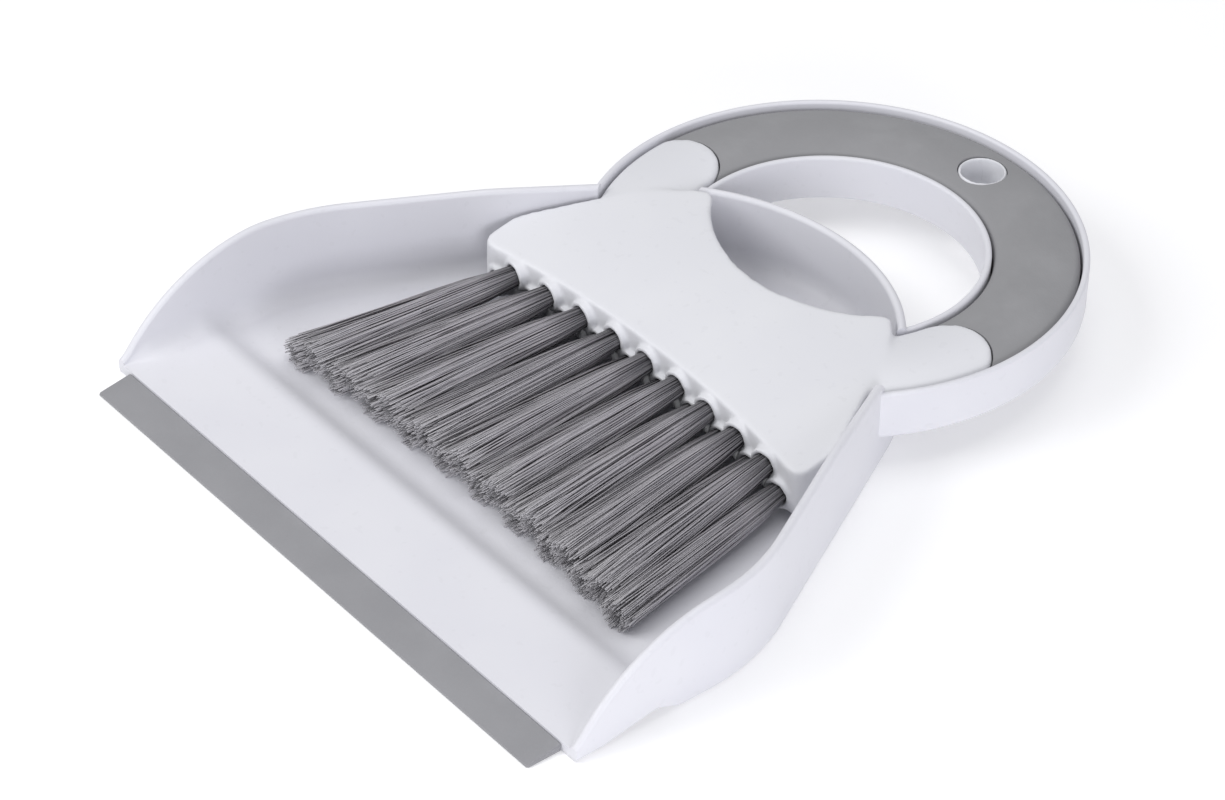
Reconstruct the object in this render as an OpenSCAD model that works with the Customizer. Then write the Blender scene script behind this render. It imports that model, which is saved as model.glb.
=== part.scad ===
/* [Pan bowl] */
// Width across the pan's straight sides
pan_w = 170; // [150:1:204]
// Distance from the front of the lip to the outside of the bowl's rounded back
bowl_len = 158; // [150:1:190]
// Distance from the front of the lip to where the sides start to curve inwards
side_len = 45; // [40:1:55]
// Outside radius of the curve at each side
side_r = 55; // [44:1:66]
// Outside radius of the bowl's rounded back
back_r = 54; // [48:1:60]
// Thickness of the upright walls
wall = 2.2; // [1.6:0.1:3]
// Thickness of the floor
floor_t = 1.8; // [1.4:0.1:3]
// Height of the rim where the wall is highest
rim_h = 25; // [21:0.5:32]
// Height of the rim across the bowl's rounded back
back_rim_h = 20.5; // [17:0.5:24.5]
// Distance from the front of the lip to where the rim reaches its full height
rim_full = 50; // [42:1:65]
// Length at the bowl's back over which the rim falls
rim_fall = 58; // [40:1:70]

/* [Apron] */
// Distance from the front of the lip to the crest of the apron
crest_len = 31; // [26:1:37]
// Height of the crest
crest_h = 5.2; // [4.4:0.1:6.5]
// Thickness of the apron's front edge
apron_t = 2.6; // [2.4:0.1:3.5]
// Distance along the floor that the crest takes to fall to the tray
crest_fall = 6; // [4:0.5:9]

/* [Lip] */
// Distance from each end of the lip to the pan's side
lip_inset = 5; // [3:0.5:12]
// Depth of the lip that shows in front of the pan
lip_len = 9; // [6:0.5:11]
// Thickness of the lip where it meets the pan
lip_t = 2.2; // [2:0.1:3]
// Thickness of the lip's front edge
lip_edge = 0.6; // [0.4:0.1:1.2]
// Depth of the tongue that holds the lip in the apron
tongue_len = 5; // [3:0.5:7]
// Thickness of the tongue
tongue_t = 1; // [0.6:0.1:1.2]

/* [Ring handle] */
// How far the middle of the ring lies in front of the bowl's rounded back
ring_lap = 4; // [0:0.5:8]
// Outside radius of the pan's ring
ring_r = 60; // [56:0.5:72]
// Radius of the finger hole
hole_r = 35.5; // [29.5:0.5:39]
// Thickness of the ring's two walls
ring_wall = 1.6; // [1.2:0.1:2.4]
// Height of the ring's underside above the floor
ring_z = 8.5; // [6.5:0.5:10]
// Thickness of the ring's bottom
ring_floor = 2; // [1.6:0.1:2.6]
// Height of the ring's outer rim
ring_top = 21.5; // [20:0.5:26]
// How much lower the ring's inner rim is
inner_drop = 1; // [0:0.25:3]
// Radius of the hanging hole
hang_r = 5.2; // [4:0.1:7]

/* [Brush head] */
// Sideways gap between the brush's ring and the pan
side_gap = 0.5; // [0.4:0.1:1.5]
// Gap under the brush's ring when it lies in the pan
seat_gap = 0.4; // [0.3:0.1:1]
// Gap between the sides of the brush head and the bowl
head_gap = 1.2; // [0.6:0.1:2.5]
// Gap between the front corners of the head and the bowl
corner_gap = 7.5; // [4:0.5:10]
// Distance from the middle of the head's back edge to the middle of the ring
head_set = 25; // [20:1:30]
// Distance from the middle of the head's back edge forward to its front corners
head_len = 36; // [33:1:42]
// How far the head's front face curves in at the middle
head_hollow = 5; // [2:0.5:6]
// Length of the solid block that holds the tufts
block_len = 19; // [16:1:22]
// Radius of the head's curved back edge
back_cut_r = 41; // [38:1:50]
// Height of the block's underside
head_z = 4; // [3:0.25:5]
// How far the fins stand above the ring's outer rim
fin_stand = 0.5; // [0:0.25:2]
// How far the back of the head stands above the fins
crown_rise = 0.6; // [0.4:0.1:1.5]
// How much lower the head's top is at its front corners than at its back
head_drop = 6.6; // [5.5:0.1:7]
// Distance from the ring's middle forward to where the head's top starts to fall
crown_lead = 8; // [4:1:12]
// Thickness of the head's cover behind the block
cover_t = 3.2; // [2:0.1:4]
// Distance from the ring's middle forward to where the fins' ends start to round
fin_back = 9; // [4:0.5:12]

/* [Grip] */
// How far the grip's crown lies below the ring's outer rim
grip_sink = 0.2; // [0:0.1:1.5]
// How much higher the crown is than the grip's edges
grip_dome = 1.4; // [0.8:0.1:2]
// Thickness of the soft grip over the brush's ring
grip_t = 1.6; // [1:0.1:2.4]
// Wall of the hard eyelet round the hanging hole
eyelet_wall = 0.8; // [0.6:0.1:1.5]
// How far the eyelet's top lies below the grip's crown
eyelet_sink = 0.3; // [0.2:0.1:1]

/* [Tufts] */
// Number of tufts in the low row; the top row has one less
low_count = 10; // [6:1:10]
// Distance from the head's front corners to the middle of the outermost tufts
edge_margin = 6.7; // [5:0.1:9]
// Height of the low row above the block's underside
row_rise = 3.7; // [3.2:0.1:4]
// Height between the two rows at the head
row_gap = 4.6; // [4.2:0.1:4.8]
// Height between the two rows at the tips
tip_rise = 2.4; // [1.6:0.1:3]
// Thickness of plastic between neighbouring sockets
socket_wall = 2; // [1.2:0.1:3]
// Thickness of plastic below the low row's sockets
socket_skin = 1.1; // [0.8:0.1:1.5]
// Depth of the sockets
socket_len = 8; // [5:0.5:10]
// Gap between neighbouring tufts at their tips
tuft_gap = 0.5; // [0.2:0.1:1.5]
// Gap between the tips and the tray's floor
tip_clear = 0.4; // [0.3:0.1:1]
// Distance from the foot of the crest to the tips of the middle tufts
tip_set = 6; // [4:0.5:20]
// Angle that the outermost tufts lean outwards
fan = 9; // [0:1:11]

/* [Hidden] */
$fn = 96;
cut = 1;                                   // how far a cutting shape runs past a face
tall = 60;                                 // higher than the whole object
tuft_fn = 32;

ring_y = bowl_len - ring_lap;
total_len = ring_y + ring_r;

side_x = pan_w / 2 - side_r;               // middle of each side curve
back_y = bowl_len - back_r;                // middle of the bowl's rounded back
side_lean = atan2(side_x, back_y - side_len)
    + asin((side_r - back_r) / norm([side_x, back_y - side_len]));
crest_foot = crest_len + crest_fall;
slot_z = (apron_t - tongue_t) / 2;
lip_w = pan_w - 2 * lip_inset;

channel_z = ring_z + ring_floor;           // bottom of the channel for the brush's ring
channel_in = hole_r + ring_wall;
channel_out = ring_r - ring_wall;
band_in = channel_in + side_gap;           // the brush's ring
band_out = channel_out - side_gap;
band_z = channel_z + seat_gap;
brush_top = ring_top + fin_stand;
grip_top = ring_top - grip_sink;
core_top = grip_top - grip_dome - grip_t;
eyelet_top = grip_top - eyelet_sink;
band_mid = (band_in + band_out) / 2;
hang_y = ring_y + band_mid;
fin_r = (band_out - band_in) / 2 + 0.65;   // a little more than half the band, so the ends run off its sides

head_back = ring_y - head_set;
head_front = head_back - head_len;
block_back = head_front + block_len;
head_half = side_x + (side_r - (head_front - side_len) * sin(side_lean)) / cos(side_lean)
    - wall - corner_gap;
front_r = (head_half * head_half + head_hollow * head_hollow) / (2 * head_hollow);
front_arc_y = head_front + head_hollow - front_r;
crown_y = ring_y - crown_lead;
crown_z = brush_top + crown_rise;
crown_run = crown_y - head_front;
crown_r = (crown_run * crown_run + head_drop * head_drop) / (2 * head_drop);

top_count = low_count - 1;
row_half = head_half - edge_margin;        // from the middle to the outermost tufts
pitch = 2 * row_half / (low_count - 1);
tuft_len = head_front + head_hollow - crest_foot - tip_set;
tip_pitch = pitch * (1 + tuft_len * fan * PI / 180 / row_half);
root_r = min((norm([pitch / 2, row_gap]) - socket_wall) / 2, row_rise - socket_skin);
tip_r = (norm([tip_pitch / 2, tip_rise]) - tuft_gap) / 2;
low_z = head_z + row_rise;
top_z = low_z + row_gap;
low_tip_z = floor_t + tip_clear + tip_r;
top_tip_z = low_tip_z + tip_rise;
low_dip = asin((low_z - low_tip_z) / tuft_len);
top_dip = asin((top_z - top_tip_z) / tuft_len);

// The origin is under the middle of the object; inside place(), y is measured from the lip's front
module place() {
    translate([0, -total_len / 2, 0]) children();
}

// An upright prism over the 2D shape
module upright(z0, z1) {
    translate([0, 0, z0]) linear_extrude(z1 - z0) children();
}

// A bar along x whose side view is the 2D shape in y and z
module bar(w) {
    translate([-w / 2, 0, 0]) rotate([90, 0, 90]) linear_extrude(w) children();
}

// A round band about the ring's middle
module ring_band(r0, r1, z0, z1) {
    translate([0, ring_y, 0]) rotate_extrude() translate([r0, z0]) square([r1 - r0, z1 - z0]);
}

// A round band whose top is domed
module domed_band(r0, r1, z0, z1, dome) {
    half = (r1 - r0) / 2;
    dome_r = (half * half + dome * dome) / (2 * dome);
    translate([0, ring_y, 0]) rotate_extrude() intersection() {
        translate([r0, z0]) square([r1 - r0, z1 - z0]);
        translate([(r0 + r1) / 2, z1 - dome_r]) circle(dome_r, $fn = 360);
    }
}

module hang_hole(grow = 0) {
    translate([0, hang_y, 0]) cylinder(h = tall, r = hang_r + grow);
}

// Points along an arc about [x, y]
function arc(x, y, r, a0, a1, steps) = [
    for (i = [0:steps]) let (a = a0 + (a1 - a0) * i / steps) [x + r * cos(a), y + r * sin(a)]
];

// Plan of the bowl, smaller all round by inset; its front is open, at y0
module bowl_plan(inset, y0) {
    half = pan_w / 2 - inset;
    r1 = side_r - inset;
    r2 = back_r - inset;
    polygon(concat(
        [[half, y0]],
        arc(side_x, side_len, r1, 0, side_lean, 10),
        arc(0, back_y, r2, side_lean, 180 - side_lean, 44),
        arc(-side_x, side_len, r1, 180 - side_lean, 180, 10),
        [[-half, y0]]
    ));
}

// Side view of everything below the rim: it climbs in an arc, runs level and then falls
module rim_side() {
    run = rim_full - lip_len;
    rise = rim_h - apron_t;
    arc_r = (run * run + rise * rise) / (2 * rise);
    polygon(concat(
        [[lip_len, 0]],
        arc(rim_full, rim_h - arc_r, arc_r, 90 + asin(run / arc_r), 90, 24),
        [[bowl_len - rim_fall, rim_h], [bowl_len, back_rim_h], [bowl_len, 0]]
    ));
}

// Side view of the apron and the tray's floor
module floor_side() {
    polygon([
        [lip_len, 0],
        [lip_len, apron_t],
        [crest_len, crest_h],
        [crest_foot, floor_t],
        [bowl_len, floor_t],
        [bowl_len, 0]
    ]);
}

// Side view of the hollow under the apron's crest
module crest_hollow() {
    polygon([
        [lip_len + tongue_len + 2, 0],
        [crest_len, crest_h - apron_t],
        [crest_foot, 0],
        [crest_foot, -cut],
        [lip_len + tongue_len + 2, -cut]
    ]);
}

// The channel in which the brush's ring lies
module channel() {
    ring_band(channel_in, channel_out, channel_z, tall);
}

// The pan is one moulding, drawn as nodes that touch: its floor, its wall and the ring's three parts
module pan_floor() {
    color("white") place() difference() {
        intersection() {
            upright(0, tall) bowl_plan(0, lip_len);
            bar(pan_w) floor_side();
        }
        bar(pan_w + cut) crest_hollow();
        bar(lip_w) translate([lip_len - cut, slot_z]) square([tongue_len + cut, tongue_t]);
    }
}

module pan_wall() {
    color("white") place() difference() {
        intersection() {
            upright(0, tall) bowl_plan(0, lip_len);
            bar(pan_w) rim_side();
        }
        upright(-cut, tall + cut) bowl_plan(wall, lip_len - cut);
        bar(pan_w + cut) floor_side();
        channel();
    }
}

// A band of the pan's ring, as far as the bowl's wall
module ring_part(r0, r1, z0, z1) {
    difference() {
        ring_band(r0, r1, z0, z1);
        upright(0, tall) bowl_plan(0, lip_len);
    }
}

module ring_base() {
    color("white") place() difference() {
        ring_part(hole_r, ring_r, ring_z, channel_z);
        hang_hole();
    }
}

module ring_outer_wall() {
    color("white") place() ring_part(channel_out, ring_r, channel_z, ring_top);
}

module ring_inner_wall() {
    color("white") place() ring_part(hole_r, channel_in, channel_z, ring_top - inner_drop);
}

module lip() {
    color("gray") place() bar(lip_w) polygon([
        [0, 0],
        [lip_len, 0],
        [lip_len, slot_z],
        [lip_len + tongue_len, slot_z],
        [lip_len + tongue_len, slot_z + tongue_t],
        [lip_len, slot_z + tongue_t],
        [lip_len, lip_t],
        [0, lip_edge]
    ]);
}

// Plan of the brush head
module head_plan() {
    difference() {
        intersection() {
            bowl_plan(wall + head_gap, lip_len);
            translate([-head_half, head_front - cut]) square([2 * head_half, bowl_len]);
        }
        translate([0, front_arc_y]) circle(front_r, $fn = 720);
        translate([0, head_back + back_cut_r]) circle(back_cut_r);
    }
}

// Side view of everything below the head's arched top, lowered by sink
module head_side(sink) {
    intersection() {
        translate([crown_y, crown_z - sink - crown_r]) circle(crown_r, $fn = 720);
        square([crown_y, crown_z]);
    }
}

// Plan of the ring's back part, which has the soft grip; the fins' rounded ends reach into it
module grip_plan() {
    y0 = ring_y - fin_back;
    polygon(concat(
        [[pan_w / 2, total_len], [-pan_w / 2, total_len], [-pan_w / 2, y0]],
        arc(-band_mid, y0, fin_r, 180, 0, 24),
        arc(band_mid, y0, fin_r, 180, 0, 24),
        [[pan_w / 2, y0]]
    ));
}

// Plan of the space for the ring, from inside the head's block backwards
module ring_room() {
    translate([-pan_w / 2, block_back - cut]) square([pan_w, total_len]);
}

// Stands at the head's front face, with z pointing out along tuft i of a row
module at_tuft(count, i, z, dip) {
    x = (i - (count + 1) / 2) * pitch;
    y = front_arc_y + sqrt(front_r * front_r - x * x);
    translate([x, y, z]) rotate([90 + dip, 0, fan * x / row_half]) children();
}

module sockets(count, z, dip) {
    for (i = [1:count]) at_tuft(count, i, z, dip)
        translate([0, 0, -socket_len]) cylinder(h = 2 * socket_len, r = root_r, $fn = tuft_fn);
}

module tuft(count, i, z, dip) {
    color("dimgray") place() at_tuft(count, i, z, dip) {
        translate([0, 0, -socket_len]) cylinder(h = socket_len, r = root_r, $fn = tuft_fn);
        cylinder(h = tuft_len, r1 = root_r, r2 = tip_r, $fn = tuft_fn);
    }
}

module brush_frame() {
    color("whitesmoke") place() difference() {
        union() {
            // the head: a cover with a block under its front for the tufts
            intersection() {
                upright(head_z, tall) head_plan();
                bar(pan_w) {
                    difference() {
                        head_side(0);
                        head_side(cover_t);
                    }
                    intersection() {
                        head_side(0);
                        translate([head_front - cut, 0]) square([block_len + cut, tall]);
                    }
                }
            }
            // the front of the ring, with its fins
            difference() {
                intersection() {
                    domed_band(band_in, band_out, band_z, brush_top, grip_dome);
                    bar(pan_w) {
                        head_side(0);
                        translate([crown_y - cut, 0]) square([total_len, tall]);
                    }
                    upright(0, tall) ring_room();
                }
                upright(0, tall) grip_plan();
            }
            // the core of the ring, under the soft grip, and the eyelet that comes up through it
            intersection() {
                ring_band(band_in + grip_t, band_out - grip_t, band_z, core_top);
                upright(0, tall) ring_room();
            }
            translate([0, hang_y, band_z]) cylinder(h = eyelet_top - band_z, r = hang_r + eyelet_wall);
        }
        sockets(top_count, top_z, top_dip);
        sockets(low_count, low_z, low_dip);
        hang_hole();
    }
}

module grip() {
    color("darkgray") place() difference() {
        intersection() {
            domed_band(band_in, band_out, band_z, grip_top, grip_dome);
            upright(0, tall) grip_plan();
        }
        ring_band(band_in + grip_t, band_out - grip_t, 0, core_top);
        hang_hole(eyelet_wall);
    }
}

pan_floor();
pan_wall();
ring_base();
ring_outer_wall();
ring_inner_wall();
lip();
brush_frame();
grip();
for (i = [1:top_count])
    tuft(top_count, i, top_z, top_dip);
for (i = [1:low_count])
    tuft(low_count, i, low_z, low_dip);
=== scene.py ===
# %% [markdown]
# # A small dustpan with its hand brush
# The set is two pieces of satin white plastic that nest: a pan with a soft front lip and a ring
# handle, and a brush whose own ring lies in the pan's ring. The measured frame is loaded first,
# because every visible piece is built to its sizes and moves with its two bodies.

# %% Load the frame
import math
import bmesh
import bpy
import numpy as np
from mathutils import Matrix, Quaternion, Vector


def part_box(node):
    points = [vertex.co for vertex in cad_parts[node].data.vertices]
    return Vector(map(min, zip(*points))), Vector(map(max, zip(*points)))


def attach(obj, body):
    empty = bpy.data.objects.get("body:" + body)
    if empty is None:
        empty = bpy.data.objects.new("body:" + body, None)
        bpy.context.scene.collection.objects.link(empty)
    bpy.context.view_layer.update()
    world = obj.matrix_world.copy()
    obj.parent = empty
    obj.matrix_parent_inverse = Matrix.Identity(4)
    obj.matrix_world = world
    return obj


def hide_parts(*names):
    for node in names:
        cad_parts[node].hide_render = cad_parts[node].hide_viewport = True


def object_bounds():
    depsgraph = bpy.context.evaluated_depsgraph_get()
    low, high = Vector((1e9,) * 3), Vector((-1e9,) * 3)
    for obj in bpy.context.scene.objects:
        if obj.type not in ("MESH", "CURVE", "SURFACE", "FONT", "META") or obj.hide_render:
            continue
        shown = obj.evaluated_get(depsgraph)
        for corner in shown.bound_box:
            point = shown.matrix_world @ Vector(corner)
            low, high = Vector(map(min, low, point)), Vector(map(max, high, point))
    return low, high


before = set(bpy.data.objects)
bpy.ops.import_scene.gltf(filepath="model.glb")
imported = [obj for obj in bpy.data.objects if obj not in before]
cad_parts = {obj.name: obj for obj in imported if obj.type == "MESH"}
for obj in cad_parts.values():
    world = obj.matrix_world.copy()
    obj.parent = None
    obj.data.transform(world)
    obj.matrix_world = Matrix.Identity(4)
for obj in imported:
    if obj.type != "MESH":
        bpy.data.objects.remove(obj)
cad_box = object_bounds()

# %% [markdown]
# ## Sizes
# All shapes below are worked out in millimetres and become metres only when a mesh is made.
# What the frame's boxes can tell is read from them. The other sizes are the drawing's own
# values, repeated here because a wall or a radius can't be read from a box.

# %% Sizes of the pan and the brush
MM = 0.001
floor_lo, floor_hi = (Vector(corner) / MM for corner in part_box("pan_floor"))
wall_hi, ring_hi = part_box("pan_wall")[1] / MM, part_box("ring_outer_wall")[1] / MM
lip_lo, lip_hi = (Vector(corner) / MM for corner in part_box("lip"))
FRONT = lip_lo.y                  # the lip's front edge
PAN_FRONT = floor_lo.y            # the pan's front edge, behind the lip
PAN_HALF = floor_hi.x
RIM = wall_hi.z
LIP_HALF = lip_hi.x
SIDE_END = FRONT + 45             # where the straight sides end
SIDE_R, BACK_R, WALL, FLOOR = 55, 54, 2.2, 1.8
BACK_RIM, RIM_FULL, RIM_FALL = 20.5, FRONT + 50, 58
BOWL_BACK = FRONT + 158
CREST, CREST_FOOT, CREST_H, APRON = FRONT + 31, FRONT + 37, 5.2, 2.6
RING_R, HOLE_R, RING_WALL = 60, 35.5, 1.6
RING_Y = ring_hi.y - RING_R
RING_Z, RING_FLOOR, RING_TOP, RING_INNER = 8.5, 10.5, 21.5, 20.5
BAND_IN, BAND_OUT, BAND_Z = 37.6, 57.9, 10.9
BAND_MID = (BAND_IN + BAND_OUT) / 2
HANG_Y, HANG_R, EYELET_WALL, EYELET_TOP = RING_Y + BAND_MID, 5.2, 0.8, 21.0
ABOVE = 60                        # higher than the whole set, for cutting shapes
SIDE_X = PAN_HALF - SIDE_R
BACK_Y = BOWL_BACK - BACK_R
LEAN = math.atan2(SIDE_X, BACK_Y - SIDE_END) + math.asin(
    (SIDE_R - BACK_R) / math.hypot(SIDE_X, BACK_Y - SIDE_END))
print("ring's middle at y", round(RING_Y, 2), "mm, sides lean", round(math.degrees(LEAN), 1), "degrees")

# %% [markdown]
# ## Mesh helpers
# Moulded plastic has no sharp edges, so every profile here is a polygon whose corners are
# rounded by small arcs. A loft joins equal rows of points into a closed skin, which is lighter
# and smoother than remeshing and keeps long highlights clean.

# %% Rounded profiles, lofts and turned rings
def rounded(corners, steps=5):
    """Points round a closed polygon of (a, b, radius) corners, each rounded by an arc."""
    points = []
    for i, (a, b, radius) in enumerate(corners):
        here = np.array((a, b), float)
        if radius <= 0:
            points.append(here)
            continue
        before = np.array(corners[i - 1][:2], float) - here
        after = np.array(corners[(i + 1) % len(corners)][:2], float) - here
        before /= np.linalg.norm(before)
        after /= np.linalg.norm(after)
        half = math.acos(np.clip(before @ after, -1, 1)) / 2
        middle = here + (before + after) / np.linalg.norm(before + after) * radius / math.sin(half)
        start = here + before * radius / math.tan(half) - middle
        end = here + after * radius / math.tan(half) - middle
        sweep = math.atan2(start[0] * end[1] - start[1] * end[0], start @ end)
        for k in range(steps + 1):
            turn = sweep * k / steps
            c, s = math.cos(turn), math.sin(turn)
            points.append(middle + (c * start[0] - s * start[1], s * start[0] + c * start[1]))
    return np.array(points)


def mesh_object(name, points, faces):
    """A mesh object at the origin, from points in millimetres; doubled points are merged."""
    data = bpy.data.meshes.new(name)
    data.from_pydata([tuple(p) for p in np.asarray(points, float) * MM], [], faces)
    made = bpy.data.objects.new(name, data)
    bpy.context.scene.collection.objects.link(made)
    work = bmesh.new()
    work.from_mesh(data)
    bmesh.ops.remove_doubles(work, verts=work.verts, dist=0.002 * MM)
    bmesh.ops.recalc_face_normals(work, faces=work.faces)
    work.to_mesh(data)
    work.free()
    return made


def loft(name, rows, ring=False, capped=True):
    """Joins equal closed rows of points; ring=True joins the last row to the first."""
    rows = np.asarray(rows, float)
    count, width = rows.shape[:2]
    faces = []
    for i in range(count if ring else count - 1):
        for j in range(width):
            a, b = i * width, ((i + 1) % count) * width
            k = (j + 1) % width
            faces.append((a + j, a + k, b + k, b + j))
    if capped and not ring:
        faces.append(tuple(range(width)))
        faces.append(tuple((count - 1) * width + j for j in reversed(range(width))))
    return mesh_object(name, rows.reshape(-1, 3), faces)


def turned(name, profile, steps=192, centre=None):
    """Turns a closed (radius, height) profile about the ring's upright axis, or about another one."""
    y = RING_Y if centre is None else centre
    angles = np.linspace(0, 2 * math.pi, steps + 1)[:-1]
    rows = [[(r * math.cos(t), y + r * math.sin(t), z) for r, z in profile] for t in angles]
    return loft(name, rows, ring=True)


def disc(name, radius, low, high, centre):
    """A round plug on an upright axis, for drilling."""
    return turned(name, [(0.01, low), (radius, low), (radius, high), (0.01, high)], 64, centre)


def prism(name, outline, low, high):
    """An upright block over a plan outline."""
    rows = [[(x, y, z) for x, y in outline] for z in (low, high)]
    return loft(name, rows)


def applied(made, *removed):
    """The object's modifiers made part of its mesh, and the helper objects removed."""
    bpy.context.view_layer.update()
    seen = made.evaluated_get(bpy.context.evaluated_depsgraph_get())
    mesh = bpy.data.meshes.new_from_object(seen)
    made.modifiers.clear()
    made.data = mesh
    for other in removed:
        bpy.data.objects.remove(other)
    return made


def combine(made, other, operation):
    """Boolean of two closed meshes; the second one is used up."""
    tool = made.modifiers.new("combine", "BOOLEAN")
    tool.operation, tool.solver, tool.object = operation, "MANIFOLD", other
    return applied(made, other)


def finished(made, finish):
    """The whole piece takes one finish."""
    made.data.materials.clear()
    made.data.materials.append(finish)
    made.data.polygons.foreach_set("material_index", np.zeros(len(made.data.polygons), int))


def smooth_shaded(made, angle=32):
    made.data.shade_smooth()
    made.data.set_sharp_from_angle(angle=math.radians(angle))
    print(made.name, len(made.data.polygons), "faces")
    return made


print("helpers ready")

# %% [markdown]
# ## The pan's bowl
# The bowl is one thin moulding: straight sides that curve into a rounded back, a rim that climbs
# from the apron and falls again at the back, and a soft crest that keeps dust in. Each row of
# the loft is a closed cut through the bowl at one place along its side, from the right rim over
# the floor to the left rim and back under it, so wall, fillet, floor and rim are one skin.

# %% Plan, rim line and floor line
def soft(value, y, reach):
    """A line's height at y, averaged over a short stretch so that its kinks become curves."""
    return float(np.mean([value(y + reach * k / 6) for k in range(-6, 7)]))


def rim_line(y):
    run, rise = RIM_FULL - PAN_FRONT, RIM - APRON
    arc = (run * run + rise * rise) / (2 * rise)
    if y < RIM_FULL:
        return RIM - arc + math.sqrt(max(arc * arc - (RIM_FULL - max(y, PAN_FRONT)) ** 2, 0))
    return RIM - (RIM - BACK_RIM) * max(0, y - BOWL_BACK + RIM_FALL) / RIM_FALL


def floor_line(y):
    return float(np.interp(y, [PAN_FRONT - 22, CREST, CREST_FOOT, BOWL_BACK],
                           [0, CREST_H, FLOOR, FLOOR]))


def under_line(y):
    return float(np.interp(y, [FRONT + 16, CREST, CREST_FOOT], [0, CREST_H - APRON, 0]))


def side_stations():
    """Points along the right side from the front to the middle of the back, with outward normals."""
    found = [(PAN_HALF, y, 0.0) for y in np.arange(PAN_FRONT, SIDE_END - 0.5, 1.0)]
    found += [(SIDE_X + SIDE_R * math.cos(t), SIDE_END + SIDE_R * math.sin(t), t)
              for t in np.linspace(0, LEAN, 18)]
    a = np.array(found[-1][:2])
    b = np.array((BACK_R * math.cos(LEAN), BACK_Y + BACK_R * math.sin(LEAN)))
    found += [(*(a + (b - a) * k / 30), LEAN) for k in range(1, 30)]
    found += [(BACK_R * math.cos(t), BACK_Y + BACK_R * math.sin(t), t)
              for t in np.linspace(LEAN, math.pi / 2, 48)]
    return found


def outline(inset, low=None):
    """Plan of the bowl, smaller all round by inset."""
    right = [(x - inset * math.cos(t), y - inset * math.sin(t)) for x, y, t in side_stations()]
    if low is not None:
        right[0] = (right[0][0], low)
    return right + [(-x, y) for x, y in reversed(right[:-1])]


print("bowl outline:", len(outline(0)), "points")

# %% Loft the bowl
FLOOR_STEPS = 14
rows = []
for x, y, t in side_stations():
    rim = max(soft(rim_line, y, 2.5), rim_line(y) - 0.2)
    floor = soft(floor_line, y, 2.2)
    under = soft(under_line, y, 1.5) if y < SIDE_END else 0.0
    rim = max(rim, floor + 0.35)
    edge = min(WALL / 2, (rim - under) * 0.4)
    foot = min(1.3, (rim - under) * 0.3)
    fillet = float(np.clip((rim - edge - floor) * 0.8, 0.3, 5.0))
    profile = [(foot * (1 - math.sin(a)), under + foot * (1 - math.cos(a)))
               for a in np.linspace(0, math.pi / 2, 5)]
    profile += [(edge * (1 - math.cos(a)), rim - edge + edge * math.sin(a))
                for a in np.linspace(0, math.pi / 2, 6)]
    profile += [(WALL - edge + edge * math.sin(a), max(rim - edge + edge * math.cos(a), floor + fillet))
                for a in np.linspace(0.01, math.pi / 2, 6)]
    profile += [(WALL + fillet * (1 - math.cos(a)), floor + fillet * (1 - math.sin(a)))
                for a in np.linspace(0.0, math.pi / 2, 9)]
    right = [(x - d * math.cos(t), y - d * math.sin(t), z) for d, z in profile]
    shares = [1 - 2 * k / FLOOR_STEPS for k in range(1, FLOOR_STEPS)]
    across = [(right[-1][0] * share, right[-1][1], floor) for share in shares]
    left = [(-px, py, pz) for px, py, pz in reversed(right)]
    below = [(-right[0][0] * share, right[0][1], under) for share in shares]
    rows.append(right + across + left + below)
pan = loft("pan_shell", rows, capped=False)
work = bmesh.new()
work.from_mesh(pan.data)
bmesh.ops.holes_fill(work, edges=[e for e in work.edges if e.is_boundary], sides=0)
bmesh.ops.recalc_face_normals(work, faces=work.faces)
print("open edges:", sum(1 for e in work.edges if not e.is_manifold))
work.to_mesh(pan.data)
work.free()

# %% [markdown]
# ## The pan's ring handle
# The ring is a shallow channel that the brush's ring drops into. A turned profile gives it its
# thin outer rim and the wall of the finger hole. It stops inside the bowl's wall, the bowl gets
# the channel's two notches, and a boolean joins them into one moulding.

# %% Turn the ring and join it to the bowl
u_profile = rounded([
    (HOLE_R, RING_Z, 0.9), (RING_R, RING_Z, 2.2), (RING_R, RING_TOP, 0.7),
    (RING_R - RING_WALL, RING_TOP, 0.7), (RING_R - RING_WALL, RING_FLOOR, 0.5),
    (HOLE_R + RING_WALL, RING_FLOOR, 0.5), (HOLE_R + RING_WALL, RING_INNER, 0.7),
    (HOLE_R, RING_INNER, 0.7)])
ring = turned("ring", u_profile, steps=240)
combine(ring, prism("bowl_room", outline(WALL * 0.7, PAN_FRONT + 20), -5, ABOVE), "DIFFERENCE")
notch_in, notch_out, notch_low = HOLE_R + RING_WALL + 0.1, RING_R - RING_WALL - 0.1, RING_FLOOR + 0.1
notch = [(notch_in, notch_low), (notch_out, notch_low), (notch_out, ABOVE), (notch_in, ABOVE)]
combine(pan, turned("channel", notch, steps=240), "DIFFERENCE")
combine(pan, ring, "UNION")
combine(pan, disc("hang", HANG_R, -5, ABOVE, HANG_Y), "DIFFERENCE")
SLOT_Y, SLOT_LOW, SLOT_HIGH = PAN_FRONT + 5, 0.8, 1.8
combine(pan, prism("slot", [(-LIP_HALF, PAN_FRONT - 3), (LIP_HALF, PAN_FRONT - 3),
                            (LIP_HALF, SLOT_Y), (-LIP_HALF, SLOT_Y)], SLOT_LOW, SLOT_HIGH), "DIFFERENCE")
smooth_shaded(pan)
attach(pan, "pan_body")
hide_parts("pan_floor", "pan_wall", "ring_base", "ring_outer_wall", "ring_inner_wall")
print("pan box:", [round(v / MM, 2) for v in pan.dimensions])


# %% [markdown]
# ## The soft lip
# A strip of grey rubber sits in a slot along the pan's front and bends to the floor. It is a
# rounded wedge with a tongue. The loft runs from one end to the other, and its end rows shrink
# a little, as the ends of a moulded strip do.

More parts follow.
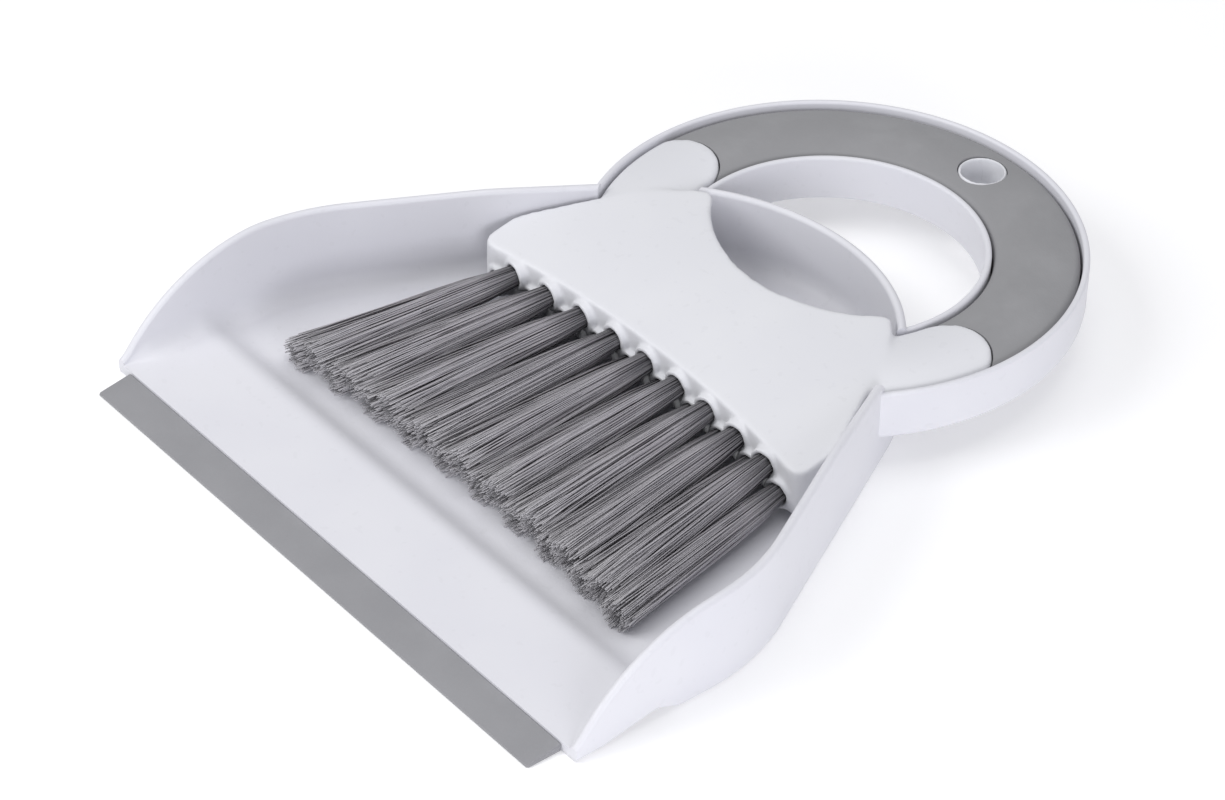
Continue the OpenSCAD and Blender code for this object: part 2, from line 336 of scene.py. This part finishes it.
# %% Loft the lip
LIP_T, LIP_EDGE = 2.2, 0.6
lip_back, tongue_end = PAN_FRONT - 0.02, SLOT_Y - 0.1
lip_profile = rounded([
    (FRONT, 0, 0.25), (lip_back, 0, 0.1), (lip_back, SLOT_LOW + 0.05, 0),
    (tongue_end, SLOT_LOW + 0.05, 0.2), (tongue_end, SLOT_HIGH - 0.05, 0.2),
    (lip_back, SLOT_HIGH - 0.05, 0), (lip_back, LIP_T, 0.4), (FRONT, LIP_EDGE, 0.25)])
middle = lip_profile.mean(axis=0)
lip_rows = []
for x, share in ((-LIP_HALF, 0.86), (-LIP_HALF + 0.12, 0.95), (-LIP_HALF + 0.4, 1), *(
        (x, 1) for x in np.linspace(-LIP_HALF + 4, LIP_HALF - 4, 41)),
        (LIP_HALF - 0.4, 1), (LIP_HALF - 0.12, 0.95), (LIP_HALF, 0.86)):
    section = middle + (lip_profile - middle) * share
    lip_rows.append([(x, y, max(z, 0)) for y, z in section])
lip = smooth_shaded(loft("lip_strip", lip_rows), 50)
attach(lip, "pan_body")
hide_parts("lip")

# %% [markdown]
# ## The brush head and its ring
# The head is an arched plate over a block that holds the tufts. Its two fins run into the front
# of the ring, and a plain core carries on round under the grip. The solids are united, remeshed
# and smoothed, which gives the moulding's edges and inner corners their soft radius all at once.
# Then the small collars and the tufts' sockets are cut, and softened much less.

# %% Sizes of the head and the places of the tufts
HEAD_SET, HEAD_LEN, HEAD_GAP, CORNER_GAP = 25, 36, 1.2, 7.5
HEAD_BACK = RING_Y - HEAD_SET
HEAD_FRONT = HEAD_BACK - HEAD_LEN
BOWL_HALF = SIDE_X + (SIDE_R - (HEAD_FRONT - SIDE_END) * math.sin(LEAN)) / math.cos(LEAN)
HEAD_HALF = BOWL_HALF - WALL - CORNER_GAP
HOLLOW, BLOCK, HEAD_Z, COVER = 5, 19, 4, 3.2
FRONT_R = (HEAD_HALF ** 2 + HOLLOW ** 2) / (2 * HOLLOW)
FRONT_ARC_Y = HEAD_FRONT + HOLLOW - FRONT_R
BACK_CUT_R = 41
CROWN_Y, CROWN_Z, HEAD_DROP = RING_Y - 8, 22.6, 6.6
CROWN_R = ((CROWN_Y - HEAD_FRONT) ** 2 + HEAD_DROP ** 2) / (2 * HEAD_DROP)
ROW_HALF = HEAD_HALF - 6.7
PITCH = 2 * ROW_HALF / 9
ROOT_R, TUFT_LEN, FAN = 2.6, 55, math.radians(9)
ROWS = {"low": (10, 7.7, 5.44), "top": (9, 12.3, 7.84)}    # tufts, height at the head, at the tips


def tuft_lines():
    """Root and tip of every tuft, low row first."""
    lines = []
    for count, root_z, tip_z in ROWS.values():
        for i in range(count):
            x = (i - (count - 1) / 2) * PITCH
            root = Vector((x, FRONT_ARC_Y + math.sqrt(FRONT_R ** 2 - x * x), root_z))
            lean, dip = FAN * x / ROW_HALF, math.asin((root_z - tip_z) / TUFT_LEN)
            level = math.cos(dip)
            way = Vector((math.sin(lean) * level, -math.cos(lean) * level, -math.sin(dip)))
            lines.append((root, root + way * TUFT_LEN))
    return lines


print(len(tuft_lines()), "tufts, pitch", round(PITCH, 2), "mm")

# %% Head plate with rounded edges
def crown(y, sink=0.0):
    """Height of the head's arched top at y."""
    run = min(CROWN_Y - y, CROWN_Y - HEAD_FRONT + 2)
    return CROWN_Z - sink - CROWN_R + math.sqrt(CROWN_R ** 2 - run ** 2)


def head_outline():
    """Plan of the head: hollow front, straight cheeks, bowl-shaped sides and a scooped back."""
    inset, half = WALL + HEAD_GAP, HEAD_HALF
    sides = [(x - inset * math.cos(t), y - inset * math.sin(t)) for x, y, t in side_stations()]
    cut_y = HEAD_BACK + BACK_CUT_R
    sides = [(x, y) for x, y in sides if x < half and y > HEAD_FRONT + 4
             and math.hypot(x, y - cut_y) > BACK_CUT_R + 0.3 and y < cut_y - 20]
    low = sides[0]
    step = (low[0] - sides[1][0], low[1] - sides[1][1])
    corner = (half, low[1] + step[1] / step[0] * (half - low[0]))
    right = [(half, HEAD_FRONT + 0.4, 3.2), (*corner, 6)] + [(x, y, 0) for x, y in sides[2:]]
    end = math.atan2(cut_y - sides[-1][1], sides[-1][0])
    scoop = [(BACK_CUT_R * math.cos(t), cut_y - BACK_CUT_R * math.sin(t), 0)
             for t in np.linspace(end, math.pi - end, 41)[1:-1]]
    front = [(x, FRONT_ARC_Y + math.sqrt(FRONT_R ** 2 - x * x), 0)
             for x in np.linspace(-half + 5, half - 5, 57)]
    return rounded(right + scoop + [(-x, y, r) for x, y, r in reversed(right)] + front)


def sliced(name, outline_points, low, top, step=1.5):
    """A block over a plan whose underside and top follow height rules, cut into strips along y."""
    made = prism(name, outline_points, -50, 50)
    work = bmesh.new()
    work.from_mesh(made.data)
    ys = [v.co.y for v in work.verts]
    for y in np.arange(min(ys) + step * MM, max(ys), step * MM):
        everything = list(work.verts) + list(work.edges) + list(work.faces)
        bmesh.ops.bisect_plane(work, geom=everything, plane_co=(0, y, 0), plane_no=(0, 1, 0))
    for v in work.verts:
        v.co.z = (top if v.co.z > 0 else low)(v.co.y / MM) * MM
    work.to_mesh(made.data)
    work.free()
    return made


head = sliced("head", head_outline(), lambda y: HEAD_Z, crown)
block_back = HEAD_FRONT + BLOCK
hollow = sliced("hollow", [(-80, block_back), (80, block_back), (80, RING_Y), (-80, RING_Y)],
                lambda y: -2, lambda y: crown(y, COVER))
combine(head, hollow, "DIFFERENCE")
print("head:", len(head.data.vertices), "points")

# %% Ring, fins and core
FIN_BACK, FIN_R = 9, (BAND_OUT - BAND_IN) / 2 + 0.65
BRUSH_TOP, GRIP_TOP, CORE_TOP, GRIP_T = 22.0, 21.3, 18.3, 1.6


def grip_room(name, gap=0.0):
    """A block over everything behind the fins' rounded ends."""
    y0, r = RING_Y - FIN_BACK, FIN_R + gap
    edge = [(x + r * math.cos(t), y0 + r * math.sin(t))
            for x in (-BAND_MID, BAND_MID) for t in np.linspace(math.pi, 0, 33)]
    return prism(name, [(70, RING_Y + 70), (-70, RING_Y + 70), (-70, y0), *edge, (70, y0)], -5, ABOVE)


def dome_profile(top, inner, outer, low, dome=1.4, edge=1.9):
    """A band's section: flat underside, upright sides and a domed top with rounded shoulders."""
    half = (outer - inner) / 2
    radius = (half * half + dome * dome) / (2 * dome)
    dome_points = [((inner + outer) / 2 + r, top - radius + math.sqrt(radius ** 2 - r * r),
                    edge if abs(r) == half else 0) for r in np.linspace(half, -half, 13)]
    return rounded([(inner, low, 0.4), (outer, low, 0.4)] + dome_points, 4)


fins = turned("fins", dome_profile(BRUSH_TOP, BAND_IN, BAND_OUT, BAND_Z), 192)
combine(fins, grip_room("fin_end"), "DIFFERENCE")
front_room = [(-70, RING_Y - 70), (70, RING_Y - 70), (70, block_back - 1), (-70, block_back - 1)]
combine(fins, prism("front_room", front_room, -5, ABOVE), "DIFFERENCE")
over_head = [(-75, RING_Y - 71), (75, RING_Y - 71), (75, CROWN_Y), (-75, CROWN_Y)]
combine(fins, sliced("over_head", over_head, lambda y: crown(y, 0.05), lambda y: ABOVE), "DIFFERENCE")
core_in, core_out = BAND_IN + GRIP_T, BAND_OUT - GRIP_T
core = turned("core", rounded([(core_in, BAND_Z, 0.4), (core_out, BAND_Z, 0.4),
                               (core_out, CORE_TOP, 0.8), (core_in, CORE_TOP, 0.8)]), 192)
combine(core, prism("front_room", front_room, -5, ABOVE), "DIFFERENCE")
EYELET_R = HANG_R + EYELET_WALL
eyelet = turned("eyelet", rounded([(0.01, BAND_Z + 1, 0), (EYELET_R, BAND_Z + 1, 0),
                                   (EYELET_R, EYELET_TOP, 0.3), (0.01, EYELET_TOP, 0)]), 64, HANG_Y)
combine(head, fins, "UNION")
combine(head, core, "UNION")


def remeshed(made, voxel, rounds, keep=1.0):
    """An even skin over the solid, relaxed so that its edges become round, then thinned."""
    tool = made.modifiers.new("skin", "REMESH")
    tool.mode, tool.voxel_size = "VOXEL", voxel * MM
    tool = made.modifiers.new("soften", "SMOOTH")
    tool.factor, tool.iterations = 0.5, rounds
    if keep < 1:
        made.modifiers.new("thin", "DECIMATE").ratio = keep
    applied(made)


remeshed(head, 0.5, 12)
combine(head, eyelet, "UNION")
print("head with ring:", len(head.data.vertices), "points")

# %% Collars, sockets and the hanging hole, and soften the moulding
def peg(name, line, radius, near, far):
    """A round peg along a tuft's line, between two distances from its root."""
    root, tip = line
    way = (tip - root).normalized()
    side = way.cross(Vector((0, 0, 1))).normalized()
    up = side.cross(way)
    return loft(name, [[tuple(root + way * along + (side * math.cos(t) + up * math.sin(t)) * radius)
                        for t in np.linspace(0, 2 * math.pi, 25)[:-1]] for along in (near, far)])


COLLAR_R, SOCKET_R, SOCKET_LEN = ROOT_R + 1.25, ROOT_R + 0.1, 7.5
for line in tuft_lines():
    combine(head, peg("collar", line, COLLAR_R, -4, 1.3), "UNION")
for line in tuft_lines():
    combine(head, peg("socket", line, SOCKET_R, -SOCKET_LEN, 8), "DIFFERENCE")
combine(head, disc("hang", HANG_R, -5, ABOVE, HANG_Y), "DIFFERENCE")
remeshed(head, 0.42, 3, 0.38)
head.name = "brush_body_shell"
smooth_shaded(head, 60)
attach(head, "brush_body")
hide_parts("brush_frame")

# %% [markdown]
# ## The soft grip
# The back of the brush's ring is covered by a grey rubber band, domed across its width, that
# ends in a hollow curve round the end of each fin. A hard eyelet comes up through it round the
# hanging hole.

# %% Turn the grip and trim it
PLAY = 0.1                        # room between the grip and the core inside it
grip = turned("grip_band", dome_profile(GRIP_TOP, BAND_IN, BAND_OUT, BAND_Z), 240)
combine(grip, grip_room("grip_end", 0.3), "INTERSECT")
room_in, room_out, room_top = core_in - PLAY, core_out + PLAY, CORE_TOP + PLAY
combine(grip, turned("core_room", [(room_in, -5), (room_out, -5), (room_out, room_top),
                                   (room_in, room_top)], 240), "DIFFERENCE")
combine(grip, disc("eyelet_room", EYELET_R + PLAY, -5, ABOVE, HANG_Y), "DIFFERENCE")
smooth_shaded(grip, 40)
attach(grip, "brush_body")
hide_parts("grip")


# %% [markdown]
# ## The bristles
# Each tuft is a bundle of stiff nylon fibres folded into a socket, close together at the root,
# wider and ragged at the tips, with a slight wave. Geometry Nodes suits this: one short line
# per tuft goes in, every line is copied into many fibres, and each fibre gets its own place in
# the bundle, its own length and its own bend from a fixed seed.

# %% A short way to write node trees
class Wire:
    """A node's output; arithmetic on it adds Math nodes, so a rule reads as an expression."""

    def __init__(self, tree, socket=None, vector=False):
        self.tree, self.socket, self.vector = tree, socket, vector

    def node(self, kind, settings, inputs, output=0, vector=False):
        """Any other node: its settings first, then the values or links of its sockets."""
        made = self.tree.nodes.new(kind)
        for name, value in settings.items():
            if name == "stops":
                while len(made.color_ramp.elements) < len(value):
                    made.color_ramp.elements.new(0.5)
                for element, (place, colour) in zip(made.color_ramp.elements, value):
                    element.position, element.color = place, (*colour, 1)
            else:
                setattr(made, name, value)
        for key, value in inputs.items():
            if isinstance(value, Wire):
                self.tree.links.new(value.socket, made.inputs[key])
            else:
                made.inputs[key].default_value = value
        return Wire(self.tree, made.outputs[output], vector)

    def maths(self, operation, a, b=0.0):
        return self.node("ShaderNodeMath", {"operation": operation}, {0: a, 1: b})

    def vectors(self, operation, a, b=None, output=0):
        inputs = {0: a} if b is None else {0: a, 1: b}
        return self.node("ShaderNodeVectorMath", {"operation": operation}, inputs, output, output == 0)

    def scaled(self, amount):
        return self.node("ShaderNodeVectorMath", {"operation": "SCALE"}, {0: self, 3: amount}, 0, True)

    def __add__(self, other):
        return self.vectors("ADD", self, other) if self.vector else self.maths("ADD", self, other)

    def __sub__(self, other):
        if self.vector:
            return self.vectors("SUBTRACT", self, other)
        return self.maths("SUBTRACT", self, other)

    def __mul__(self, other):
        return self.scaled(other) if self.vector else self.maths("MULTIPLY", self, other)

    def __radd__(self, other):
        return self + other

    def __rmul__(self, other):
        return self * other

    def __rsub__(self, other):
        return self.maths("SUBTRACT", other, self)

    def power(self, other):
        return self.maths("POWER", self, other)

    def mix(self, colour, other):
        """Colour mixed towards another by this value."""
        return self.node("ShaderNodeMix", {"data_type": "RGBA"}, {0: self, 6: colour, 7: other}, 2)


print("node helper ready")

# %% The tree that turns tuft lines into fibres
def bristle_tree():
    tree = bpy.data.node_groups.new("bristles", "GeometryNodeTree")
    sockets = {}
    for name, kind, value in (
            ("Tuft Lines", "NodeSocketGeometry", None), ("Fibres per Tuft", "NodeSocketInt", 120),
            ("Root Radius", "NodeSocketFloat", ROOT_R * MM), ("Tip Radius", "NodeSocketFloat", 4.5 * MM),
            ("Fibre Radius", "NodeSocketFloat", 0.2 * MM), ("Points", "NodeSocketInt", 7),
            ("Wave", "NodeSocketFloat", 0.55 * MM), ("Ragged", "NodeSocketFloat", 0.10),
            ("Seed", "NodeSocketInt", 7), ("Finish", "NodeSocketMaterial", None)):
        socket = tree.interface.new_socket(name, in_out="INPUT", socket_type=kind)
        if value is not None:
            socket.default_value = value
        sockets[name] = socket.identifier
    tree.interface.new_socket("Fibres", in_out="OUTPUT", socket_type="NodeSocketGeometry")
    given = tree.nodes.new("NodeGroupInput")
    value = {s.name: Wire(tree, s) for s in given.outputs if s.name}
    start = Wire(tree)

    def chance(low, high, step):
        return start.node("FunctionNodeRandomValue", {"data_type": "FLOAT"},
                          {2: low, 3: high, 8: value["Seed"] + step}, 1)

    def stored(geometry, name, what, domain):
        return start.node("GeometryNodeStoreNamedAttribute", {"data_type": "FLOAT", "domain": domain},
                          {"Geometry": geometry, "Name": name, "Value": what})

    def named(name):
        return start.node("GeometryNodeInputNamedAttribute", {"data_type": "FLOAT"}, {"Name": name})

    lines = start.node("GeometryNodeMeshToCurve", {}, {"Mesh": value["Tuft Lines"]})
    fibres = start.node("GeometryNodeDuplicateElements", {"domain": "SPLINE"},
                        {"Geometry": lines, "Amount": value["Fibres per Tuft"]})
    fibres = stored(fibres, "turn", chance(0.0, 2 * math.pi, 1), "CURVE")
    fibres = stored(fibres, "reach", chance(0.0, 1.0, 2).maths("SQRT", chance(0.0, 1.0, 2)), "CURVE")
    fibres = stored(fibres, "short", chance(0.0, 1.0, 3).power(2.2), "CURVE")
    fibres = stored(fibres, "tone", chance(0.0, 1.0, 4), "CURVE")
    fibres = stored(fibres, "phase", chance(0.0, 2 * math.pi, 5), "CURVE")
    fibres = start.node("GeometryNodeResampleCurve", {}, {"Curve": fibres, "Count": value["Points"]})
    along = start.node("GeometryNodeSplineParameter", {}, {})
    fibres = stored(fibres, "along", along, "POINT")
    along = named("along")
    tangent = start.node("GeometryNodeInputTangent", {}, {}, 0, True)
    side = start.vectors("NORMALIZE", start.vectors("CROSS_PRODUCT", tangent, (0.0, 0.0, 1.0)))
    up = start.vectors("CROSS_PRODUCT", side, tangent)
    spread = value["Root Radius"] + (value["Tip Radius"] - value["Root Radius"]) * along.power(0.5)
    spread = (spread - value["Fibre Radius"]) * named("reach")
    turn, phase = named("turn"), named("phase")
    cosine, sine = start.maths("COSINE", turn), start.maths("SINE", turn)
    wave = value["Wave"] * along * (0.35 + named("tone"))
    sway = start.maths("SINE", along * 5.0 + phase) * wave
    lift = start.maths("COSINE", along * 4.0 + phase * 2.0) * wave * 0.6
    length = start.node("GeometryNodeSplineLength", {}, {})
    back = named("short") * value["Ragged"] * along * length
    offset = side * (cosine * spread + sway) + up * (sine * spread + lift) - tangent * back
    fibres = start.node("GeometryNodeSetPosition", {}, {"Geometry": fibres, "Offset": offset})
    section = start.node("GeometryNodeCurvePrimitiveCircle", {"mode": "RADIUS"},
                         {"Resolution": 3, "Radius": value["Fibre Radius"]})
    mesh = start.node("GeometryNodeCurveToMesh", {}, {"Curve": fibres, "Profile Curve": section,
                                                      "Scale": 1.15 - along * 0.35, "Fill Caps": True})
    mesh = start.node("GeometryNodeSetShadeSmooth", {}, {"Geometry": mesh})
    mesh = start.node("GeometryNodeSetMaterial", {}, {"Geometry": mesh, "Material": value["Finish"]})
    mesh = start.node("GeometryNodeRealizeInstances", {}, {"Geometry": mesh})
    out = tree.nodes.new("NodeGroupOutput")
    tree.links.new(mesh.socket, out.inputs[0])
    return tree, sockets


bristle_nodes, bristle_inputs = bristle_tree()
print(len(bristle_nodes.nodes), "nodes")


# %% Grow the bristles
points = [tuple(p) for line in tuft_lines() for p in line]
tufts = mesh_object("tuft_lines", points, [])
tufts.data.clear_geometry()
edges = [(i, i + 1) for i in range(0, len(points), 2)]
tufts.data.from_pydata([Vector(p) * MM for p in points], edges, [])
nylon = bpy.data.materials.new("bristle_nylon_finish")
tool = tufts.modifiers.new("bristles", "NODES")
tool.node_group = bristle_nodes
tool[bristle_inputs["Fibres per Tuft"]] = 245
tool[bristle_inputs["Finish"]] = nylon
bristles = applied(tufts)
bristles.name = "bristles"
TUFT_NODES = sorted(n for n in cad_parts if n.startswith("tuft_"))
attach(bristles, "brush_body")
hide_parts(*TUFT_NODES)
print("bristles:", len(bristles.data.polygons), "faces for", len(TUFT_NODES), "tufts")

# %% [markdown]
# ## Finishes
# All finishes are made from noise in object space, so they stay on the piece as it moves.
# Moulded polypropylene is satin, with a fine spark-eroded grain, faint flow clouds and small
# scuffs where the pan meets the floor. The rubbers are matte with a powdery bloom.

# %% A finish begins with its shader and its place
def finish_of(name, material=None, **fixed):
    """A node material: its shader with the values that are the same all over, and its place."""
    made = material or bpy.data.materials.new(name)
    made.use_nodes = True
    tree = made.node_tree
    shader = tree.nodes["Principled BSDF"]
    for socket, value in fixed.items():
        shader.inputs[socket.replace("_", " ")].default_value = value
    start = Wire(tree)
    place = start.node("ShaderNodeTexCoord", {}, {}, 3, True)
    return made, shader, start, place


def noise(start, place, scale, detail=3.0, rough=0.5):
    return start.node("ShaderNodeTexNoise", {}, {"Vector": place, "Scale": scale, "Detail": detail,
                                                 "Roughness": rough})


def band(value, low, high):
    """0 below low, 1 above high, smooth between."""
    return value.node("ShaderNodeMapRange", {"interpolation_type": "SMOOTHSTEP"},
                      {0: value, 1: low, 2: high, 3: 0.0, 4: 1.0})


def plug(start, value, shader, socket):
    start.tree.links.new(value.socket, shader.inputs[socket])


def bump(start, height, strength, depth, shader):
    bumped = start.node("ShaderNodeBump", {},
                        {"Strength": strength, "Distance": depth, "Height": height})
    plug(start, bumped, shader, "Normal")


# %% Satin white plastic
def moulded_plastic(name, light, shade, floor_scuffs):
    made, shader, start, place = finish_of(name, IOR=1.49, Specular_IOR_Level=0.42)
    clouds = noise(start, place, 38.0, 2.0)
    grain = noise(start, place, 2600.0, 2.0, 0.6)
    specks = band(noise(start, place, 420.0, 1.0), 0.66, 0.72)
    streaks = noise(start, place, 150.0, 4.0, 0.7)
    height = start.node("ShaderNodeSeparateXYZ", {}, {0: place}, 2)
    low = 1 - band(height, 0.0002, 0.0013)
    scuff = low * band(streaks, 0.50, 0.66) * floor_scuffs
    base = band(clouds, 0.3, 0.7).mix(shade, light)
    base = (specks * 0.10).mix(base, (0.55, 0.55, 0.57, 1))
    base = (scuff * 0.35).mix(base, (0.45, 0.44, 0.43, 1))
    plug(start, base, shader, "Base Color")
    plug(start, 0.36 + grain * 0.10 + clouds * 0.08 + scuff * 0.3, shader, "Roughness")
    bump(start, grain + streaks * 0.25, 0.12, 0.00012, shader)
    return made


pan_finish = moulded_plastic("pan_plastic_finish", light=(0.735, 0.735, 0.77, 1),
                             shade=(0.715, 0.715, 0.755, 1), floor_scuffs=1.0)
brush_finish = moulded_plastic("brush_plastic_finish", light=(0.755, 0.76, 0.785, 1),
                               shade=(0.735, 0.74, 0.77, 1), floor_scuffs=0.0)
finished(pan, pan_finish)
finished(head, brush_finish)

# %% Rubber of the lip and the grip
def soft_rubber(name, dark, light, grain_scale, highlight_from, highlight_to):
    """Matte rubber with a fine grain, painted paler as a highlight and made a little glossier on its top
    between two heights.
    """
    made, shader, start, place = finish_of(name, IOR=1.5, Specular_IOR_Level=0.35)
    bloom = noise(start, place, 60.0, 4.0, 0.6)
    grain = noise(start, place, grain_scale, 2.0, 0.55)
    height = start.node("ShaderNodeSeparateXYZ", {}, {0: place}, 2)
    # painted highlight: the top, between the two heights, is mixed towards a paler grey
    top_highlight = band(height, highlight_from, highlight_to)
    base = band(bloom, 0.25, 0.75).mix(dark, light)
    base = (top_highlight * band(bloom, 0.4, 0.7) * 0.10).mix(base, (0.52, 0.52, 0.54, 1))
    plug(start, base, shader, "Base Color")
    plug(start, 0.58 + grain * 0.16 - top_highlight * 0.06, shader, "Roughness")
    bump(start, grain, 0.25, 0.0002, shader)
    return made


# the two heights bound the painted highlight on the top of the lip and of the grip
lip_finish = soft_rubber("lip_rubber_finish", dark=(0.28, 0.28, 0.292, 1), light=(0.30, 0.30, 0.312, 1),
                         grain_scale=1800.0, highlight_from=0.0016, highlight_to=0.0024)
grip_finish = soft_rubber("grip_rubber_finish", dark=(0.285, 0.285, 0.293, 1),
                          light=(0.305, 0.305, 0.313, 1), grain_scale=1500.0,
                          highlight_from=0.0202, highlight_to=0.0216)
finished(lip, lip_finish)
finished(grip, grip_finish)

# %% Nylon of the bristles
def bristle_nylon(material):
    """Each fibre has its own tone; painted shade darkens it near the root and in the middle of its tuft,
    and it is paler towards the tip.
    """
    made, shader, start, place = finish_of("", material, IOR=1.53, Specular_IOR_Level=0.5)
    along = start.node("ShaderNodeAttribute", {"attribute_name": "along"}, {}, 2)
    tone = start.node("ShaderNodeAttribute", {"attribute_name": "tone"}, {}, 2)
    reach = start.node("ShaderNodeAttribute", {"attribute_name": "reach"}, {}, 2)
    # painted shade: near black at the root, paler along the fibre towards the tip
    length = along.node("ShaderNodeValToRGB", {"stops": [
        (0.0, (0.035, 0.034, 0.039)), (0.07, (0.11, 0.106, 0.118)), (0.22, (0.40, 0.385, 0.41)),
        (0.85, (0.50, 0.485, 0.51)), (1.0, (0.56, 0.55, 0.565))]}, {0: along})
    base = (tone * 0.30).mix(length, (0.62, 0.61, 0.63, 1))
    # painted shade: fibres near the middle of the tuft are mixed towards near black
    base = (band(1 - reach, 0.35, 1.0) * 0.5).mix(base, (0.07, 0.07, 0.078, 1))
    rings = noise(start, place, 900.0, 2.0)
    plug(start, base, shader, "Base Color")
    plug(start, 0.34 + rings * 0.12 + tone * 0.1, shader, "Roughness")
    bump(start, rings, 0.1, 0.00005, shader)
    return made


bristle_nylon(nylon)
print([m.name for m in bpy.data.materials if m.use_nodes])

# %% [markdown]
# ## Floor, light and camera
# The set lies on a plain pale floor in a bright, even surround, as small goods are shown. Three
# broad lights shape the white plastic: a key from the front left, a panel overhead, and a low
# one at the right that opens up the walls. The camera looks down from the front right with a
# long lens, so that the round handle stays round.

# %% Floor
REACH, BELOW = 3000, -0.05
corners = ((-REACH, -REACH), (REACH, -REACH), (REACH, REACH), (-REACH, REACH))
floor = mesh_object("floor", [(x, y, BELOW) for x, y in corners], [(0, 1, 2, 3)])
paper, shader, start, place = finish_of("floor_paper", Emission_Color=(1, 1, 1, 1),
                                        Emission_Strength=0.22)
tint = noise(start, place, 3.0, 2.0)
paper_tone = band(tint, 0.2, 0.8).mix((0.86, 0.86, 0.865, 1), (0.88, 0.88, 0.88, 1))
plug(start, paper_tone, shader, "Base Color")
plug(start, 0.75 + tint * 0.1, shader, "Roughness")
floor.data.materials.append(paper)

# %% Light
world = bpy.data.worlds.new("surround")
bpy.context.scene.world = world
world.use_nodes = True
world.node_tree.nodes["Background"].inputs["Color"].default_value = (0.96, 0.965, 1.0, 1)
world.node_tree.nodes["Background"].inputs["Strength"].default_value = 0.44


def soft_light(name, place, aim, size, power, colour=(1, 1, 1)):
    data = bpy.data.lights.new(name, "AREA")
    data.shape, data.size, data.size_y = "RECTANGLE", size, size
    data.energy, data.color = power, colour
    made = bpy.data.objects.new(name, data)
    bpy.context.scene.collection.objects.link(made)
    made.location = place
    made.rotation_mode = "QUATERNION"
    made.rotation_quaternion = (Vector(aim) - Vector(place)).to_track_quat("-Z", "Y")
    return made


soft_light("key", (-0.45, -0.75, 0.80), (0, 0, 0), 0.7, 6.0)
soft_light("overhead", (0.0, 0.15, 1.1), (0, 0, 0), 0.8, 3.2)
soft_light("low_right", (0.95, -0.45, 0.26), (0, 0, 0), 0.5, 4.6, (0.94, 0.94, 1.0))

# %% Camera
AZIMUTH, ELEVATION, ROLL, DISTANCE, LENS = 50.29, 37.7, -1.07, 0.91915, 117.55
turn, tilt = math.radians(AZIMUTH), math.radians(ELEVATION)
away = Vector((math.sin(turn) * math.cos(tilt), -math.cos(turn) * math.cos(tilt), math.sin(tilt)))
aim = (cad_box[0] + cad_box[1]) / 2 + Vector((-0.00349, -0.01664, -0.01028))
camera = bpy.data.objects.new("camera", bpy.data.cameras.new("camera"))
bpy.context.scene.collection.objects.link(camera)
bpy.context.scene.camera = camera
camera.data.lens = LENS
camera.location = aim + away * DISTANCE
camera.rotation_mode = "QUATERNION"
roll = Quaternion((0, 0, 1), math.radians(-ROLL))
camera.rotation_quaternion = (-away).to_track_quat("-Z", "Y") @ roll
scene = bpy.context.scene
scene.view_settings.view_transform = "Standard"
print("camera", [round(v, 4) for v in camera.location])
